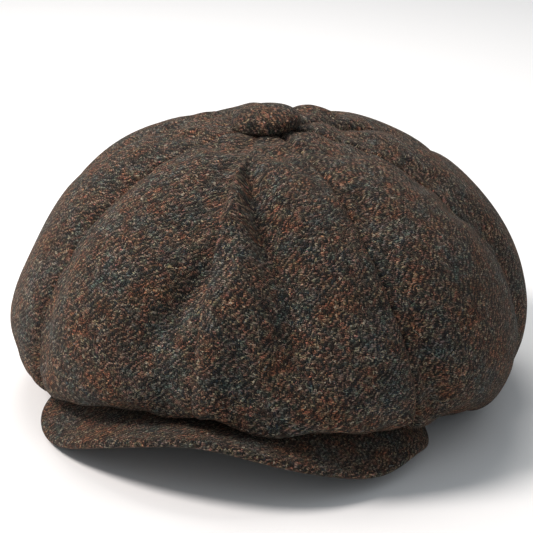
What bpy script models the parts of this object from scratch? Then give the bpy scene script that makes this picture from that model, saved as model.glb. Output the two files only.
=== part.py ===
"""Newsboy cap: an eight-panel tweed crown, lined, on a headband, with a covered button and a stiff peak.

Frame: metres, +Z up, the peak towards -Y, and the table at z = 0. The cap is modelled round the centre
of its head opening, and one empty places it so that its box stands centred on the origin.
An azimuth is 0 at the front and grows towards +X.
"""
import math

import bmesh
import bpy
from mathutils import Vector

MM = 0.001
GAP = 0.3 * MM                     # between pieces that touch

# Headband: an ellipse in plan, standing on a rim plane that rises from the back to the front
BAND_HALF_WIDTH = 89.0 * MM
BAND_HALF_LENGTH = 103.0 * MM
BAND_HEIGHT = 28.0 * MM
BAND_THICKNESS = 2.0 * MM
RIM_RISE = 31.0 * MM
INTERLINING_THICKNESS = 0.8 * MM
INTERLINING_HEM = 1.5 * MM         # the interlining stops short of both edges of the band
SWEATBAND_THICKNESS = 1.2 * MM
SWEATBAND_HEIGHT = 32.0 * MM
LABEL_WIDTH = 42.0 * MM
LABEL_HEIGHT = 18.0 * MM
LABEL_THICKNESS = 0.4 * MM
LABEL_COLUMNS = 8

# Crown: eight gores between meridian seams, swelling past the band and curling back under to it
PANEL_COUNT = 8
SEAM_TWIST = math.radians(-1.5)    # the soft crown sits turned a little on its band
CROWN_HALF_WIDTH = 138.0 * MM
CROWN_FRONT = 133.0 * MM
CROWN_BACK = 158.0 * MM
APEX_HEIGHT = 144.0 * MM
APEX_SHIFT = Vector((-3.0 * MM, 2.0 * MM, 0.0))
EQUATOR_HEIGHT = 49.0 * MM
EQUATOR_TILT = -5.0 * MM           # the widest line hangs lower at the front
DOME_ROUNDNESS_OUT = 2.2           # superellipse exponents of the dome
DOME_ROUNDNESS_UP = 1.8
SAG_HEIGHT = 1.5 * MM              # lowest line of the crown at the sides and back
SAG_FRONT_RISE = 30.0 * MM         # the front of the crown lies on the peak, so it hangs less
SAG_FALLOFF = 1.6
SAG_REACH = 0.55                   # where the lowest line runs, from the band (0) to the widest line (1)
SAG_FRONT_REACH = 0.18             # added to that reach at the front
PUFF = 3.0 * MM                    # swelling of each gore between its seams
PANEL_THICKNESS = 2.0 * MM
LINING_THICKNESS = 0.5 * MM
PANEL_TIP_RADIUS = 4.5 * MM
LINING_TIP_RADIUS = 1.4 * MM
NECK_CLEARANCE = 0.9 * MM          # between the band and the tweed that rises beside it
NECK_TURN_RADIUS = 1.6 * MM        # the tweed turns in over the top edge of the band
CURL_END, RISE_END, TURN_END = 1.42, 1.88, 2.0   # profile stations after the widest line, which is 1
DOME_ROWS, CURL_ROWS, RISE_ROWS, TURN_ROWS = 8, 5, 4, 2
GORE_COLUMNS = 5
BAND_COLUMNS = 48

# Peak: a curved board between two covers, arched across and drooping at its sides
PEAK_HALF_ANGLE = math.radians(64.0)
PEAK_END_FRACTION = 0.93
PEAK_DEPTH = 47.0 * MM
PEAK_OUTLINE_POWER = 3.8
PEAK_DROOP = 0.80                  # downward slope of the peak at its ends
PEAK_ARCH_ROUNDING = 0.2           # how gently the arch turns over at the middle
PEAK_BEND_POWER = 1.2
PEAK_LIFT = 3.6 * MM               # the middle of the outer edge is pushed up
PEAK_LIFT_AZIMUTH = math.radians(2.0)
PEAK_LIFT_WIDTH = math.radians(13.0)
PEAK_LIFT_POWER = 2.5
# one corner is pressed down, and both ends turn up: height in mm, azimuth and half width in degrees
PEAK_BENDS = ((-4.0, -33, 11), (2.8, -54, 9), (8.0, 49, 9))
PEAK_TUCK = 3.0 * MM               # how far the peak reaches in under the band
BOARD_THICKNESS = 1.6 * MM
BOARD_ROWS = 5
BOARD_INSET = 0.035                # of the peak's width and depth
PEAK_COLUMNS = 28
COVER_THICKNESS = 1.2 * MM
PEAK_EDGE_START = 0.93             # from here out the covers close on each other
PEAK_STATIONS = (0.0, 0.16, 0.34, 0.52, 0.7, 0.84, PEAK_EDGE_START, 0.965, 0.988, 1.0)

# Covered button on the apex
BUTTON_RADIUS = 16.8 * MM
BUTTON_HEIGHT = 8.4 * MM
BUTTON_SIDE_HEIGHT = 3.2 * MM
BUTTON_EDGE_ROUND = 2.4 * MM
BUTTON_ROUNDNESS = 0.85
BUTTON_ARC_STEPS = 6
BUTTON_COVER_THICKNESS = 1.2 * MM
BUTTON_MOUTH_RADIUS = 11.5 * MM
BUTTON_SHELL_THICKNESS = 0.7 * MM
BUTTON_BACK_RADIUS = 10.8 * MM
BUTTON_BACK_THICKNESS = 0.9 * MM
BUTTON_BACK_LOW = 0.4 * MM
BUTTON_BACK_HOLE = 0.6 * MM
SHANK_RADIUS = 1.4 * MM
SHANK_WIRE = 0.4 * MM
THREAD_RADIUS = 0.35 * MM
SCREW_STEPS = 28

COLOURS = {
    "tweed": ((0.075, 0.05, 0.037), 0.95, 0.0),
    "lining": ((0.06, 0.035, 0.03), 0.45, 0.0),
    "canvas": ((0.55, 0.5, 0.4), 0.9, 0.0),
    "sweatband": ((0.05, 0.032, 0.025), 0.6, 0.0),
    "board": ((0.75, 0.74, 0.7), 0.5, 0.0),
    "metal": ((0.6, 0.6, 0.58), 0.35, 1.0),
    "thread": ((0.05, 0.035, 0.025), 0.8, 0.0),
    "label": ((0.7, 0.66, 0.56), 0.7, 0.0),
}


def clear_scene():
    for item in list(bpy.data.objects):
        bpy.data.objects.remove(item, do_unlink=True)


def make_material(name):
    colour, roughness, metallic = COLOURS[name]
    material = bpy.data.materials.new(name)
    material.use_nodes = True
    shader = material.node_tree.nodes["Principled BSDF"]
    shader.inputs["Base Color"].default_value = (*colour, 1.0)
    shader.inputs["Roughness"].default_value = roughness
    shader.inputs["Metallic"].default_value = metallic
    return material


def polar(radius, azimuth, height):
    return Vector((radius * math.sin(azimuth), -radius * math.cos(azimuth), height))


def plan_radius(azimuth, half_width, half_length):
    return 1.0 / math.hypot(math.sin(azimuth) / half_width, math.cos(azimuth) / half_length)


def band_radius(azimuth):
    return plan_radius(azimuth, BAND_HALF_WIDTH, BAND_HALF_LENGTH)


def rim_height(y):
    """Height of the headband's lower edge, which lies on one plane."""
    return RIM_RISE * (BAND_HALF_LENGTH - y) / (2 * BAND_HALF_LENGTH)


# ---- crown surface -------------------------------------------------------------------------------

def crown_radius(azimuth):
    frontness = (1 + math.cos(azimuth)) / 2
    half_length = CROWN_FRONT * frontness + CROWN_BACK * (1 - frontness)
    return plan_radius(azimuth, CROWN_HALF_WIDTH, half_length)


def crown_profile(azimuth, station):
    """Radius and height of the tweed's face: the apex is station 0 and the widest line is station 1."""
    widest = crown_radius(azimuth)
    equator = EQUATOR_HEIGHT + EQUATOR_TILT * math.cos(azimuth)
    if station <= 1:
        angle = station * math.pi / 2
        radius = widest * math.sin(angle) ** (2 / DOME_ROUNDNESS_OUT)
        rise = max(math.cos(angle), 0.0) ** (2 / DOME_ROUNDNESS_UP)
        return radius, equator + (APEX_HEIGHT - equator) * rise
    band = band_radius(azimuth)
    lowest = SAG_HEIGHT + SAG_FRONT_RISE * max(math.cos(azimuth), 0.0) ** SAG_FALLOFF
    reach = SAG_REACH + SAG_FRONT_REACH * max(math.cos(azimuth), 0.0)
    lowest_radius = band + reach * (widest - band)
    if station <= CURL_END:
        angle = (station - 1) / (CURL_END - 1) * math.pi / 2
        radius = lowest_radius + (widest - lowest_radius) * math.cos(angle)
        return radius, equator - (equator - lowest) * math.sin(angle)
    neck_radius = band + NECK_CLEARANCE
    band_top = rim_height(-band * math.cos(azimuth)) + BAND_HEIGHT
    neck_height = band_top + NECK_CLEARANCE - NECK_TURN_RADIUS
    if station <= RISE_END:
        angle = (station - CURL_END) / (RISE_END - CURL_END) * math.pi / 2
        radius = lowest_radius - (lowest_radius - neck_radius) * math.sin(angle)
        return radius, lowest + (neck_height - lowest) * (1 - math.cos(angle))
    angle = (station - RISE_END) / (TURN_END - RISE_END) * math.pi / 2
    radius = neck_radius - NECK_TURN_RADIUS * (1 - math.cos(angle))
    return radius, neck_height + NECK_TURN_RADIUS * math.sin(angle)


def inward_normal(azimuth, station):
    """Direction in the meridian plane from the tweed's face towards the inside of the crown."""
    step = 0.004
    before = crown_profile(azimuth, max(station - step, 0.0))
    after = crown_profile(azimuth, min(station + step, TURN_END))
    along = Vector((after[0] - before[0], after[1] - before[1])).normalized()
    return Vector((along.y, -along.x))


def puff_weight(azimuth, station):
    """How much a gore swells: nothing at the apex, most on the dome, nothing once it is curled under."""
    if station <= 1:
        return (crown_profile(azimuth, station)[0] / crown_radius(azimuth)) ** 0.8
    return max(0.0, 1 - (station - 1) / (CURL_END - 1)) ** 2


def crown_point(gore, across, station, depth):
    """A point of gore number `gore`, `depth` inside the face of the tweed; `across` runs 0 to 1."""
    gore_angle = 2 * math.pi / PANEL_COUNT
    azimuth = SEAM_TWIST + (gore + across) * gore_angle
    radius, height = crown_profile(azimuth, station)
    normal = inward_normal(azimuth, station)
    swell = PUFF * math.sin(math.pi * across) * puff_weight(azimuth, station)
    radius += normal.x * (depth - swell)
    height += normal.y * (depth - swell)
    seam_angle = math.asin(GAP / 2 / radius)
    azimuth = SEAM_TWIST + (gore + 0.5) * gore_angle + (across - 0.5) * (gore_angle - 2 * seam_angle)
    lean = max(0.0, 1 - radius / crown_radius(azimuth)) if station < 1 else 0.0
    return polar(radius, azimuth, height) + APEX_SHIFT * lean


def tip_station(tip_radius):
    """Dome station where the crown is `tip_radius` wide."""
    return math.asin((tip_radius / CROWN_HALF_WIDTH) ** (DOME_ROUNDNESS_OUT / 2)) * 2 / math.pi


def gore_stations(tip_radius):
    """Profile stations from the tip of a gore to its sewn edge, closer together on the tight bends."""
    stations = []
    bends = ((tip_station(tip_radius), 1.0, DOME_ROWS), (1.0, CURL_END, CURL_ROWS),
             (CURL_END, RISE_END, RISE_ROWS), (RISE_END, TURN_END, TURN_ROWS))
    for start, end, rows in bends:
        stations += [start + (end - start) * row / rows for row in range(rows)]
    return stations + [TURN_END]


# ---- peak surface --------------------------------------------------------------------------------

def peak_half_thickness():
    return BOARD_THICKNESS / 2 + GAP + COVER_THICKNESS


def arch(turn):
    """0 at the middle of the peak and 1 at its ends, round at the middle and straight beyond."""
    soft = PEAK_ARCH_ROUNDING
    return (math.hypot(turn, soft) - soft) / (math.hypot(1.0, soft) - soft)


def swelling(azimuth, centre, width):
    return math.exp(-((azimuth - centre) / width) ** 2)


def worn_in(azimuth, outward):
    """How far the peak's edge has been bent up or down by wear, beyond its moulded arch."""
    height = PEAK_LIFT * swelling(azimuth, PEAK_LIFT_AZIMUTH, PEAK_LIFT_WIDTH) * outward ** PEAK_LIFT_POWER
    for bend, place, wide in PEAK_BENDS:
        side = swelling(azimuth, math.radians(place), math.radians(wide))
        height += bend * MM * side * outward ** PEAK_BEND_POWER
    return height


def peak_middle(azimuth, outward):
    """Middle surface of the peak: outward is 0 under the band and 1 at the peak's edge."""
    turn = min(abs(azimuth) / PEAK_HALF_ANGLE, 1.0)
    depth = PEAK_DEPTH * math.sqrt(1 - turn ** PEAK_OUTLINE_POWER)
    inner = band_radius(azimuth) - PEAK_TUCK
    root_height = rim_height(-inner * math.cos(azimuth)) - GAP - peak_half_thickness() * 1.05
    droop = PEAK_DROOP * arch(turn) * depth * outward ** PEAK_BEND_POWER
    height = root_height - droop + worn_in(azimuth, outward)
    return polar(inner + outward * (PEAK_TUCK + depth), azimuth, height)


def peak_normal(azimuth, outward):
    step = 0.004
    along = peak_middle(azimuth + step, outward) - peak_middle(azimuth - step, outward)
    across = peak_middle(azimuth, min(outward + step, 1.0)) - peak_middle(azimuth, max(outward - step, 0.0))
    normal = across.cross(along).normalized()
    return normal if normal.z > 0 else -normal


def peak_azimuth(across):
    """Azimuth for across = -1 to 1, closer together towards the peak's rounded ends."""
    return PEAK_HALF_ANGLE * math.sin(across * PEAK_END_FRACTION * math.pi / 2)


def edge_closing(outward):
    """1 over the board, falling to 0 in a quarter round at the edge of the peak."""
    past = max(0.0, outward - PEAK_EDGE_START) / (1 - PEAK_EDGE_START)
    return math.sqrt(max(0.0, 1 - past ** 2))


def hinge_point():
    """The peak bends about the line through its two rear ends, at the rim of the band."""
    azimuth = peak_azimuth(1.0)
    y = -(band_radius(azimuth) - PEAK_TUCK) * math.cos(azimuth)
    return Vector((0.0, y, rim_height(y) - GAP))


# ---- modelling helpers ---------------------------------------------------------------------------

def slab(columns, rows):
    """A closed unit slab: a grid in 0 to 1 by 0 to 1, extruded from height 0 to height 1."""
    mesh = bmesh.new()
    bmesh.ops.create_grid(mesh, x_segments=columns, y_segments=rows, size=0.5)
    bmesh.ops.translate(mesh, verts=mesh.verts, vec=(0.5, 0.5, 0.0))
    extruded = bmesh.ops.extrude_face_region(mesh, geom=list(mesh.faces), use_keep_orig=True)
    top = [item for item in extruded["geom"] if isinstance(item, bmesh.types.BMVert)]
    bmesh.ops.translate(mesh, verts=top, vec=(0.0, 0.0, 1.0))
    bmesh.ops.recalc_face_normals(mesh, faces=mesh.faces)
    return mesh


def add_object(name, data, material, collection, parent):
    item = bpy.data.objects.new(name, data)
    item.data.materials.append(material)
    item.parent = parent
    collection.objects.link(item)
    return item


def shaped_slab(name, columns, rows, place, material, collection, parent):
    """An object made of a slab whose every corner (across, along, depth) goes to place(...)."""
    mesh = slab(columns, rows)
    for vertex in mesh.verts:
        vertex.co = place(*vertex.co)
    if mesh.calc_volume(signed=True) < 0:
        bmesh.ops.reverse_faces(mesh, faces=mesh.faces)
    data = bpy.data.meshes.new(name)
    mesh.to_mesh(data)
    mesh.free()
    data.shade_smooth()
    data.set_sharp_from_angle(angle=math.radians(50))
    return add_object(name, data, material, collection, parent)


def turned(name, profile, closed, material, collection, parent, location):
    """A Screw of a profile in X and Z; an open profile starts and ends on the axis."""
    data = bpy.data.meshes.new(name)
    edges = [(i, i + 1) for i in range(len(profile) - 1)]
    if closed:
        edges.append((len(profile) - 1, 0))
    data.from_pydata([(x, 0.0, z) for x, z in profile], edges, [])
    item = add_object(name, data, material, collection, parent)
    item.location = location
    screw = item.modifiers.new("Turn", "SCREW")
    screw.steps = SCREW_STEPS
    screw.render_steps = SCREW_STEPS
    screw.use_merge_vertices = True
    screw.merge_threshold = 0.00002
    screw.use_smooth_shade = True
    return item


def wire(name, points, radius, material, collection, parent, location):
    curve = bpy.data.curves.new(name, "CURVE")
    curve.dimensions = "3D"
    curve.bevel_depth = radius
    curve.bevel_resolution = 2
    curve.use_fill_caps = True
    spline = curve.splines.new("POLY")
    spline.points.add(len(points) - 1)
    for target, point in zip(spline.points, points):
        target.co = (*point, 1.0)
    item = add_object(name, curve, material, collection, parent)
    item.location = location
    return item


# ---- pieces --------------------------------------------------------------------------------------

def gore_piece(name, gore, tip_radius, face_depth, thickness, material, collection, parent):
    stations = gore_stations(tip_radius)
    rows = len(stations) - 1

    def place(across, along, depth):
        return crown_point(gore, across, stations[round(along * rows)], face_depth + depth * thickness)

    return shaped_slab(name, GORE_COLUMNS, rows, place, material, collection, parent)


def crown_and_lining(materials, collection, parent):
    places = ("front_right", "right_front", "right_back", "back_right",
              "back_left", "left_back", "left_front", "front_left")
    for gore, place in enumerate(places):
        gore_piece(f"crown_panel_{place}", gore, PANEL_TIP_RADIUS, 0.0, PANEL_THICKNESS,
                   materials["tweed"], collection, parent)
    for gore, place in enumerate(places):
        gore_piece(f"lining_panel_{place}", gore, LINING_TIP_RADIUS, PANEL_THICKNESS + GAP,
                   LINING_THICKNESS, materials["lining"], collection, parent)


def band_strip(name, face_depth, thickness, low, high, half_angle, centre, columns, material,
               collection, parent):
    """A strip round the head opening, from `low` to `high` above the rim plane."""

    def place(across, along, depth):
        azimuth = centre + (2 * across - 1) * half_angle
        radius = band_radius(azimuth) - face_depth - depth * thickness
        point = polar(radius, azimuth, 0.0)
        point.z = rim_height(point.y) + low + along * (high - low)
        return point

    return shaped_slab(name, columns, 1, place, material, collection, parent)


def headband_layers(materials, collection, parent):
    seam_half_angle = math.asin(GAP / 2 / BAND_HALF_LENGTH)
    around = math.pi - seam_half_angle * 1.1
    depth = 0.0
    layers = (("headband", BAND_THICKNESS, 0.0, BAND_HEIGHT, "tweed"),
              ("band_interlining", INTERLINING_THICKNESS, INTERLINING_HEM, BAND_HEIGHT - INTERLINING_HEM,
               "canvas"),
              ("sweatband", SWEATBAND_THICKNESS, GAP, SWEATBAND_HEIGHT, "sweatband"))
    for name, thickness, low, high, material in layers:
        band_strip(name, depth, thickness, low, high, around, 0.0, BAND_COLUMNS,
                   materials[material], collection, parent)
        depth += thickness + GAP
    label_low = (SWEATBAND_HEIGHT - LABEL_HEIGHT) / 2
    band_strip("size_label", depth, LABEL_THICKNESS, label_low, label_low + LABEL_HEIGHT,
               LABEL_WIDTH / 2 / BAND_HALF_LENGTH, math.pi, LABEL_COLUMNS,
               materials["label"], collection, parent)


def peak_plate(name, side, material, collection, parent):
    """One layer of the peak: side 1 is the top cover, -1 the under cover and 0 the board."""
    hinge = hinge_point()

    def place(across, along, depth):
        if side == 0:
            azimuth = peak_azimuth((2 * across - 1) * (1 - BOARD_INSET))
            outward = BOARD_INSET + along * (PEAK_EDGE_START - 2 * BOARD_INSET)
            offset = (depth - 0.5) * BOARD_THICKNESS
        else:
            azimuth = peak_azimuth(2 * across - 1)
            outward = PEAK_STATIONS[round(along * (len(PEAK_STATIONS) - 1))]
            inner = GAP / 2 + (BOARD_THICKNESS / 2 + GAP / 2) * edge_closing(outward)
            offset = side * (inner + depth * COVER_THICKNESS)
        return peak_middle(azimuth, outward) + peak_normal(azimuth, outward) * offset - hinge

    rows = BOARD_ROWS if side == 0 else len(PEAK_STATIONS) - 1
    return shaped_slab(name, PEAK_COLUMNS, rows, place, material, collection, parent)


def peak_layers(materials, collection, parent):
    peak_plate("peak_top_cover", 1, materials["tweed"], collection, parent)
    peak_plate("peak_board", 0, materials["board"], collection, parent)
    peak_plate("peak_under_cover", -1, materials["tweed"], collection, parent)


def dome_arc(radius, low, height):
    """Points of a quarter superellipse from the axis at the top down to the side."""
    points = []
    for i in range(BUTTON_ARC_STEPS + 1):
        angle = i / BUTTON_ARC_STEPS * math.pi / 2
        out = radius * math.sin(angle) ** BUTTON_ROUNDNESS
        points.append((out, low + (height - low) * math.cos(angle) ** BUTTON_ROUNDNESS))
    points[0] = (0.0, height)
    return points


def button_cover(material, collection, parent, apex):
    """Tweed drawn over the shell and gathered in underneath, open in the middle."""
    fold = BUTTON_COVER_THICKNESS
    hem_radius = BUTTON_RADIUS - BUTTON_EDGE_ROUND
    profile = dome_arc(BUTTON_RADIUS, BUTTON_SIDE_HEIGHT, BUTTON_HEIGHT)
    profile += [(BUTTON_RADIUS - BUTTON_EDGE_ROUND / 3, fold / 2), (hem_radius, 0.0)]
    profile += [(BUTTON_MOUTH_RADIUS, 0.0), (BUTTON_MOUTH_RADIUS, fold), (hem_radius, fold)]
    profile += dome_arc(BUTTON_RADIUS - fold, BUTTON_SIDE_HEIGHT, BUTTON_HEIGHT - fold)[::-1]
    turned("button_cover", profile, False, material, collection, parent, apex)


def button_shell(material, collection, parent, apex):
    """Pressed metal cap under the tweed."""
    radius = BUTTON_RADIUS - BUTTON_COVER_THICKNESS - GAP
    top = BUTTON_HEIGHT - BUTTON_COVER_THICKNESS - GAP
    low = BUTTON_COVER_THICKNESS + GAP
    wall = BUTTON_SHELL_THICKNESS
    inset = BUTTON_EDGE_ROUND / 2
    profile = dome_arc(radius, BUTTON_SIDE_HEIGHT, top)
    profile += [(radius - inset, low), (radius - inset - wall, low)]
    profile += dome_arc(radius - wall, BUTTON_SIDE_HEIGHT, top - wall)[::-1]
    turned("button_shell", profile, False, material, collection, parent, apex)


def button_back(material, collection, parent, apex):
    """Plate in the mouth of the cover, pierced in the middle, that carries the shank."""
    low = BUTTON_BACK_LOW
    top = low + BUTTON_BACK_THICKNESS
    profile = [(BUTTON_BACK_HOLE, top), (BUTTON_BACK_RADIUS, top),
               (BUTTON_BACK_RADIUS, low), (BUTTON_BACK_HOLE, low)]
    turned("button_back", profile, True, material, collection, parent, apex)


def shank_and_thread(materials, collection, parent, apex):
    """A wire eye under the plate, and the thread through it that ties the button to the gore tips."""
    eye_height = BUTTON_BACK_LOW - GAP - SHANK_RADIUS - SHANK_WIRE
    bends = 12
    start, end = math.radians(112), math.radians(428)
    eye = []
    for i in range(bends + 1):
        angle = start + (end - start) * i / bends
        eye.append((SHANK_RADIUS * math.cos(angle), 0.0, eye_height + SHANK_RADIUS * math.sin(angle)))
    wire("button_shank", eye, SHANK_WIRE, materials["metal"], collection, parent, apex)
    reach = PANEL_TIP_RADIUS - THREAD_RADIUS - GAP
    dip = eye_height - SHANK_RADIUS + SHANK_WIRE + THREAD_RADIUS + GAP
    stitches = [(0.0, reach * t, dip) for t in (-1.0, -0.5, 0.0, 0.5, 1.0)]
    wire("button_thread", stitches, THREAD_RADIUS, materials["thread"], collection, parent, apex)


def button(materials, collection, parent):
    crown_top = crown_profile(0.0, tip_station(PANEL_TIP_RADIUS))[1]
    apex = Vector((APEX_SHIFT.x, APEX_SHIFT.y, crown_top + GAP))
    button_cover(materials["tweed"], collection, parent, apex)
    button_shell(materials["metal"], collection, parent, apex)
    button_back(materials["metal"], collection, parent, apex)
    shank_and_thread(materials, collection, parent, apex)


def main():
    clear_scene()
    collection = bpy.data.collections.new("newsboy_cap")
    bpy.context.scene.collection.children.link(collection)
    materials = {name: make_material(name) for name in COLOURS}

    front = BAND_HALF_LENGTH + PEAK_DEPTH
    cap_frame = bpy.data.objects.new("cap_frame", None)
    cap_frame.location = (0.0, (front - CROWN_BACK) / 2, 0.0)
    collection.objects.link(cap_frame)
    peak_hinge = bpy.data.objects.new("peak_hinge", None)
    peak_hinge.parent = cap_frame
    peak_hinge.location = hinge_point()
    collection.objects.link(peak_hinge)

    crown_and_lining(materials, collection, cap_frame)
    headband_layers(materials, collection, cap_frame)
    peak_layers(materials, collection, peak_hinge)
    button(materials, collection, cap_frame)


main()
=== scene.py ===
"""Newsboy cap, the looks: soft tweed gores, lining, bands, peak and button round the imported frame."""
import math

import bmesh
import bpy
import numpy as np
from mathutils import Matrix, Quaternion, Vector


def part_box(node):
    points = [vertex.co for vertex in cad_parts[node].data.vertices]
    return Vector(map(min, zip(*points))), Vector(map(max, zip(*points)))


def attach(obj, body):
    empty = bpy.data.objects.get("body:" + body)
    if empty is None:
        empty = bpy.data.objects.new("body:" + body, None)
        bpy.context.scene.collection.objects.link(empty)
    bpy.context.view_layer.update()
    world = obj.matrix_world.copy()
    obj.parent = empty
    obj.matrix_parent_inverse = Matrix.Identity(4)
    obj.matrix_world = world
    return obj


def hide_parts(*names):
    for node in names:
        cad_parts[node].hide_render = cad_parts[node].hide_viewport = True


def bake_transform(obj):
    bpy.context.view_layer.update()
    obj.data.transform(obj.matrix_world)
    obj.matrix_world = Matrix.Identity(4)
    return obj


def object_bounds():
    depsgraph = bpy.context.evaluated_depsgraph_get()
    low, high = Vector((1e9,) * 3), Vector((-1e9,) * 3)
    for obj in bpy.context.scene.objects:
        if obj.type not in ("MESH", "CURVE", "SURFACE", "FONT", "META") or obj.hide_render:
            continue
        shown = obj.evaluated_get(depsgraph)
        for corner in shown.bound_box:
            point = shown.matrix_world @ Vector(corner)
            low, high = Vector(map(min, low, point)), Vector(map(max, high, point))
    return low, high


MM = 0.001
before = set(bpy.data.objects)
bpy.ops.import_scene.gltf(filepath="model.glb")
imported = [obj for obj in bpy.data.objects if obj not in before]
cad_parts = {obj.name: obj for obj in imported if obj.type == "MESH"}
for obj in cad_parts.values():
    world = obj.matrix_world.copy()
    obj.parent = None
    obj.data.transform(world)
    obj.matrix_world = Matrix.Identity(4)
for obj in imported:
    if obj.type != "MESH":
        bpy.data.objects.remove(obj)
cad_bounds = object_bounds()

# ---- sizes, from the frame where it holds them -----------------------------------------------------

BAND_LOW, BAND_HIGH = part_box("headband")
CENTRE_Y = (BAND_LOW.y + BAND_HIGH.y) / 2
BAND_HALF_WIDTH = (BAND_HIGH.x - BAND_LOW.x) / 2
BAND_HALF_LENGTH = (BAND_HIGH.y - BAND_LOW.y) / 2
BAND_HEIGHT = 28.0 * MM
RIM_RISE = BAND_HIGH.z - BAND_LOW.z - BAND_HEIGHT
APEX_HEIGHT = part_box("crown_panel_front_left")[1].z

GORES = ("front_right", "right_front", "right_back", "back_right",
         "back_left", "left_back", "left_front", "front_left")
GORE_ANGLE = 2 * math.pi / len(GORES)
SEAM_TWIST = math.radians(-1.5)
CROWN_HALF_WIDTH = 138.0 * MM
CROWN_FRONT = 133.0 * MM
CROWN_BACK = 158.0 * MM
APEX_SHIFT = np.array((-3.0 * MM, 2.0 * MM))
EQUATOR_HEIGHT = 49.0 * MM
EQUATOR_TILT = -5.0 * MM
ROUNDNESS_OUT = 2.2
ROUNDNESS_UP = 1.8
SAG_HEIGHT = 1.5 * MM
SAG_FRONT_RISE = 30.0 * MM
SAG_FALLOFF = 1.6
SAG_REACH = 0.55
SAG_FRONT_REACH = 0.18
NECK_CLEARANCE = 0.9 * MM
NECK_TURN_RADIUS = 1.6 * MM
CURL_END, RISE_END, TURN_END = 1.42, 1.88, 2.0
CLOTH = 1.5 * MM                   # thickness of the tweed
LINING_DEPTH = 2.4 * MM            # face of the lining behind the face of the tweed
LINING_CLOTH = 0.35 * MM
GORE_TIP = 5.0 * MM
LINING_TIP = 1.5 * MM

PEAK_HALF_ANGLE = math.radians(64.0)
PEAK_DEPTH = 47.0 * MM
PEAK_OUTLINE_POWER = 3.8
PEAK_DROOP = 0.80
PEAK_ARCH_ROUNDING = 0.2
PEAK_BEND_POWER = 1.2
PEAK_LIFT = 3.6 * MM               # the middle of the outer edge is pushed up
PEAK_LIFT_AZIMUTH = math.radians(2.0)
PEAK_LIFT_WIDTH = math.radians(13.0)
PEAK_LIFT_POWER = 2.5
# One corner is pressed down, and both ends turn up: height in mm, azimuth and half width in degrees.
# The right end is 1 mm higher than in the CAD.
PEAK_BENDS = ((-4.0, -33, 11), (2.8, -54, 9), (9.0, 49, 9))
PEAK_TUCK = 3.0 * MM
PEAK_HALF_THICKNESS = 2.3 * MM
PEAK_COVER = 0.8 * MM

WEAVE = "Weave"                    # name of the UV map that holds cloth distances in metres


def smooth(edge0, edge1, x):
    t = np.clip((x - edge0) / (edge1 - edge0), 0.0, 1.0)
    return t * t * (3 - 2 * t)


def bump(x, centre, width):
    return np.exp(-((x - centre) / width) ** 2)


def wrap(angle):
    return (angle + math.pi) % (2 * math.pi) - math.pi


def polar(radius, azimuth, height):
    return np.stack([radius * np.sin(azimuth), CENTRE_Y - radius * np.cos(azimuth), height], -1)


def plan_radius(azimuth, half_width, half_length):
    return 1 / np.hypot(np.sin(azimuth) / half_width, np.cos(azimuth) / half_length)


def band_radius(azimuth):
    return plan_radius(azimuth, BAND_HALF_WIDTH, BAND_HALF_LENGTH)


def rim_height(y):
    """Height of the headband's lower edge; y is measured from the middle of the opening."""
    return RIM_RISE * (BAND_HALF_LENGTH - y) / (2 * BAND_HALF_LENGTH)


# ---- crown ---------------------------------------------------------------------------------------

def crown_radius(azimuth):
    frontness = (1 + np.cos(azimuth)) / 2
    half_length = CROWN_FRONT * frontness + CROWN_BACK * (1 - frontness)
    return plan_radius(azimuth, CROWN_HALF_WIDTH, half_length)


def crown_profile(azimuth, station):
    """Radius and height on the crown as cut: station 0 is the apex, 1 the widest line, 2 the sewn edge."""
    widest = crown_radius(azimuth)
    equator = EQUATOR_HEIGHT + EQUATOR_TILT * np.cos(azimuth)
    frontness = np.clip(np.cos(azimuth), 0, None)
    band = band_radius(azimuth)
    low = SAG_HEIGHT + SAG_FRONT_RISE * frontness ** SAG_FALLOFF
    low_radius = band + (SAG_REACH + SAG_FRONT_REACH * frontness) * (widest - band)
    neck_radius = band + NECK_CLEARANCE
    neck = rim_height(-band * np.cos(azimuth)) + BAND_HEIGHT + NECK_CLEARANCE - NECK_TURN_RADIUS

    def quarter(start, end):
        return np.clip((station - start) / (end - start), 0, 1) * math.pi / 2

    dome, curl, rise, turn = (quarter(0, 1), quarter(1, CURL_END), quarter(CURL_END, RISE_END),
                              quarter(RISE_END, TURN_END))
    parts = [station <= 1, station <= CURL_END, station <= RISE_END]
    radius = np.select(parts, [
        widest * np.sin(dome) ** (2 / ROUNDNESS_OUT),
        low_radius + (widest - low_radius) * np.cos(curl),
        low_radius - (low_radius - neck_radius) * np.sin(rise)],
        neck_radius - NECK_TURN_RADIUS * (1 - np.cos(turn)))
    height = np.select(parts, [
        equator + (APEX_HEIGHT - equator) * np.clip(np.cos(dome), 0, 1) ** (2 / ROUNDNESS_UP),
        equator - (equator - low) * np.sin(curl),
        low + (neck - low) * (1 - np.cos(rise))],
        neck + NECK_TURN_RADIUS * np.sin(turn))
    return radius, height


def inward_normal(azimuth, station):
    step = 0.004
    r0, z0 = crown_profile(azimuth, np.maximum(station - step, 0.0))
    r1, z1 = crown_profile(azimuth, np.minimum(station + step, TURN_END))
    length = np.hypot(r1 - r0, z1 - z0)
    return (z1 - z0) / length, -(r1 - r0) / length


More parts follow.
